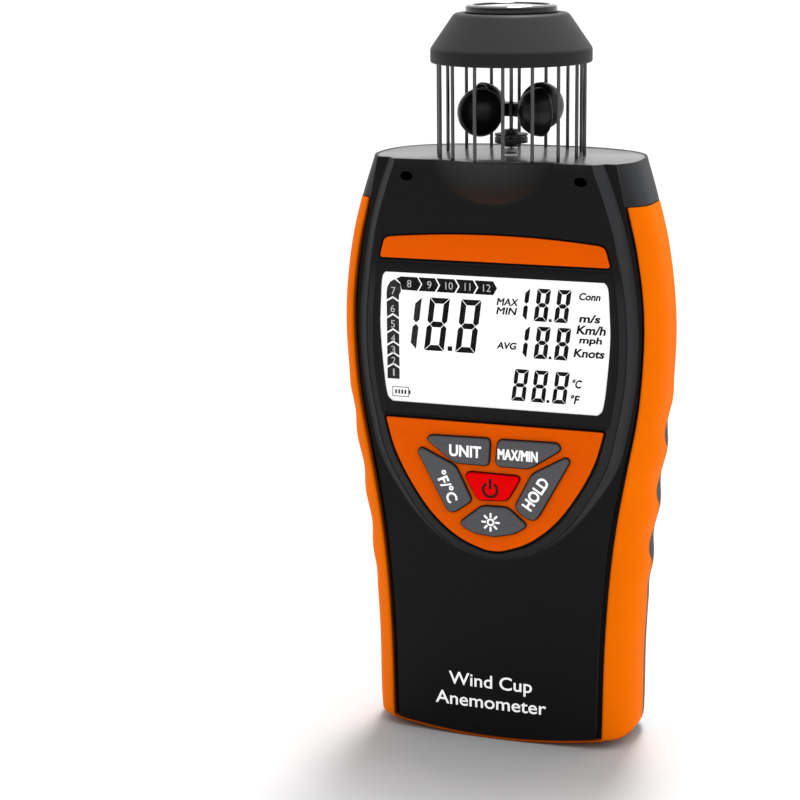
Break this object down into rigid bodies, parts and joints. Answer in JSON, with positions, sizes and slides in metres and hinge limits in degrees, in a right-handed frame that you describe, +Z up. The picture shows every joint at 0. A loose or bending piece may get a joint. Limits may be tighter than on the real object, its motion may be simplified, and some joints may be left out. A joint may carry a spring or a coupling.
{
  "type": "handheld weather meter",
  "caption": "Handheld wind meter: a cup rotor in a wire cage, a compass in the cage cap, a display and push keys on a gripped case.",
  "frame": {"origin": "on the flat of the base, under the axis of the cage and rotor", "axes": "+Z up along the rotor's axis, the display faces -Y, +X to the right of someone reading it"},
  "size_m": [0.0856, 0.0423, 0.1895],
  "materials": {
    "black_casing": "satin moulded",
    "orange_grip": "smooth overmoulded",
    "orange_panel": "satin",
    "deck_plastic": "satin",
    "window_glass": "clear",
    "lcd": "printed display",
    "backlight": "diffuser",
    "silicone": "matte",
    "circuit_board": "lacquered",
    "sensor_bead": "coated",
    "cell_jacket": "printed wrap",
    "spring_metal": "plated",
    "screw_steel": "plated",
    "cage_metal": "dark chrome",
    "cap_plastic": "satin",
    "bearing_metal": "polished",
    "bezel_plastic": "gloss",
    "compass_dial": "printed",
    "spindle_steel": "polished",
    "rotor_plastic": "semi gloss",
    "magnet_metal": "ground",
    "key_rubber": "matte",
    "power_key": "matte"
  },
  "bodies": {
    "casing": {"front_casing": "black_casing", "rear_casing": "black_casing", "grip_boot": "orange_grip", "top_deck": "deck_plastic", "accent_panel": "orange_panel", "display_window": "window_glass", "lcd_panel": "lcd", "lcd_backlight": "backlight", "keypad_panel": "orange_panel", "keypad_mat": "silicone", "main_pcb": "circuit_board", "sensor_board": "circuit_board", "thermistor": "sensor_bead", "battery_1": "cell_jacket", "battery_2": "cell_jacket", "battery_contacts": "spring_metal", "case_screw_1": "screw_steel", "case_screw_2": "screw_steel", "case_screw_3": "screw_steel", "case_screw_4": "screw_steel", "cage_rod_01": "cage_metal", "cage_rod_02": "cage_metal", "cage_rod_03": "cage_metal", "cage_rod_04": "cage_metal", "cage_rod_05": "cage_metal", "cage_rod_06": "cage_metal", "cage_rod_07": "cage_metal", "cage_rod_08": "cage_metal", "cage_rod_09": "cage_metal", "cage_rod_10": "cage_metal", "cage_rod_11": "cage_metal", "cage_rod_12": "cage_metal", "cage_rod_13": "cage_metal", "cage_rod_14": "cage_metal", "cage_rod_15": "cage_metal", "cage_rod_16": "cage_metal", "cage_cap": "cap_plastic", "upper_bearing": "bearing_metal", "lower_bearing": "bearing_metal", "compass_bezel": "bezel_plastic", "compass_lens": "window_glass", "compass_pivot": "bearing_metal"},
    "rotor": {"spindle": "spindle_steel", "cup_hub": "rotor_plastic", "cup_1": "rotor_plastic", "cup_2": "rotor_plastic", "cup_3": "rotor_plastic", "cup_4": "rotor_plastic", "magnet_carrier_upper": "rotor_plastic", "magnet_ring": "magnet_metal", "magnet_carrier_lower": "rotor_plastic"},
    "compass_card": {"compass_card": "compass_dial"},
    "key_unit": {"key_unit": "key_rubber"},
    "key_max_min": {"key_max_min": "key_rubber"},
    "key_temperature": {"key_temperature": "key_rubber"},
    "key_hold": {"key_hold": "key_rubber"},
    "key_power": {"key_power": "power_key"},
    "key_backlight": {"key_backlight": "key_rubber"},
    "battery_door": {"battery_door": "black_casing", "door_screw": "screw_steel"}
  },
  "joints": [
    {"name": "rotor_spin", "type": "hinge", "parent": "casing", "child": "rotor", "pos_m": [0, 0, 0.1634], "axis": [0, 0, 1], "continuous": true},
    {"name": "compass_turn", "type": "hinge", "parent": "casing", "child": "compass_card", "pos_m": [0, 0, 0.187], "axis": [0, 0, 1], "continuous": true},
    {"name": "press_unit", "type": "slide", "parent": "casing", "child": "key_unit", "axis": [0, 1, 0], "range_m": [0, 0.0008], "stiffness_N_per_m": 500},
    {"name": "press_max_min", "type": "slide", "parent": "casing", "child": "key_max_min", "axis": [0, 1, 0], "range_m": [0, 0.0008], "stiffness_N_per_m": 500},
    {"name": "press_temperature", "type": "slide", "parent": "casing", "child": "key_temperature", "axis": [0, 1, 0], "range_m": [0, 0.0008], "stiffness_N_per_m": 500},
    {"name": "press_hold", "type": "slide", "parent": "casing", "child": "key_hold", "axis": [0, 1, 0], "range_m": [0, 0.0008], "stiffness_N_per_m": 500},
    {"name": "press_power", "type": "slide", "parent": "casing", "child": "key_power", "axis": [0, 1, 0], "range_m": [0, 0.0008], "stiffness_N_per_m": 500},
    {"name": "press_backlight", "type": "slide", "parent": "casing", "child": "key_backlight", "axis": [0, 1, 0], "range_m": [0, 0.0008], "stiffness_N_per_m": 500},
    {"name": "door_removal", "type": "slide", "parent": "casing", "child": "battery_door", "axis": [0, 1, 0], "range_m": [0, 0.025]}
  ]
}
